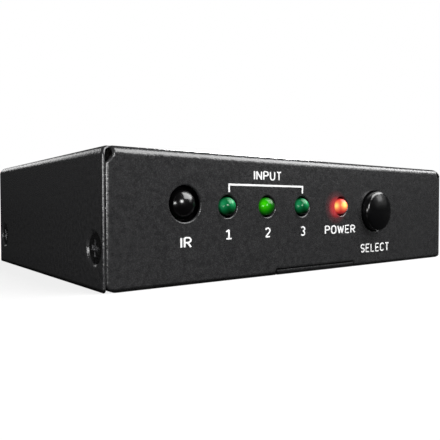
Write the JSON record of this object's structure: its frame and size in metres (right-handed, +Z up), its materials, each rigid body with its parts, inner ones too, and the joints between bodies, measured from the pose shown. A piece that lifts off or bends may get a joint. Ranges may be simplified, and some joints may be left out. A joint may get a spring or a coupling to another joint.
{
  "type": "video input switch",
  "caption": "Small flat steel box that switches video inputs, with front indicator lamps, a remote-control window and a round push button, and video sockets and a power inlet at the back.",
  "frame": {"origin": "centre of the base, on the surface that the case stands on, with the button and sockets left out of the case's depth", "axes": "+X to the right as seen from the front, +Y from the front panel to the rear panel, +Z up"},
  "size_m": [0.1, 0.0666, 0.024],
  "materials": {
    "cover_black": "satin black powder coat, fine texture",
    "tray_black": "satin black powder coat, fine texture",
    "screw_black": "black plated steel",
    "board_green": "green solder mask",
    "standoff_brass": "turned",
    "screw_bright": "zinc plated",
    "insulator": "polyester film",
    "lens_green": "tinted epoxy, unlit",
    "lens_green_lit": "tinted epoxy, lit",
    "lens_red_lit": "tinted epoxy, lit",
    "tinned_metal": "tinned",
    "plastic_black": "moulded",
    "receiver_black": "dark moulded epoxy",
    "button_gloss": "polished black",
    "plunger_white": "moulded",
    "spring_steel": "drawn wire",
    "socket_steel": "nickel plated sheet",
    "contact_gold": "gold flash",
    "chip_black": "moulded epoxy",
    "can_metal": "drawn can",
    "ferrite": "sintered",
    "ceramic_tan": "fired ceramic"
  },
  "bodies": {
    "case": {"top_cover": "cover_black", "bottom_tray": "tray_black", "side_screws": "screw_black", "main_board": "board_green", "board_standoffs": "standoff_brass", "board_screws": "screw_bright", "insulating_sheet": "insulator", "led_input_1": "lens_green", "led_input_2": "lens_green_lit", "led_input_3": "lens_green", "led_power": "lens_red_lit", "led_leads": "tinned_metal", "led_holders": "plastic_black", "ir_receiver": "receiver_black", "ir_leads": "tinned_metal", "switch_housing": "plastic_black", "switch_spring": "spring_steel", "switch_terminals": "tinned_metal", "power_inlet_housing": "plastic_black", "power_inlet_pin": "tinned_metal", "power_inlet_leaf": "tinned_metal", "switch_chip": "chip_black", "switch_chip_leads": "tinned_metal", "control_chip": "chip_black", "crystal": "can_metal", "voltage_regulator": "chip_black", "power_inductor": "ferrite", "capacitor_cans": "can_metal", "chip_capacitors": "ceramic_tan", "input_socket_1_shell": "socket_steel", "input_socket_1_tongue": "plastic_black", "input_socket_1_contacts": "contact_gold", "input_socket_2_shell": "socket_steel", "input_socket_2_tongue": "plastic_black", "input_socket_2_contacts": "contact_gold", "input_socket_3_shell": "socket_steel", "input_socket_3_tongue": "plastic_black", "input_socket_3_contacts": "contact_gold", "output_socket_shell": "socket_steel", "output_socket_tongue": "plastic_black", "output_socket_contacts": "contact_gold"},
    "button": {"select_button": "button_gloss", "switch_plunger": "plunger_white"}
  },
  "joints": [
    {"name": "select_press", "type": "slide", "parent": "case", "child": "button", "axis": [0, 1, 0], "range_m": [0, 0.0012], "stiffness_N_per_m": 1250, "springref_m": -0.0004, "deforming": ["switch_spring"]}
  ]
}
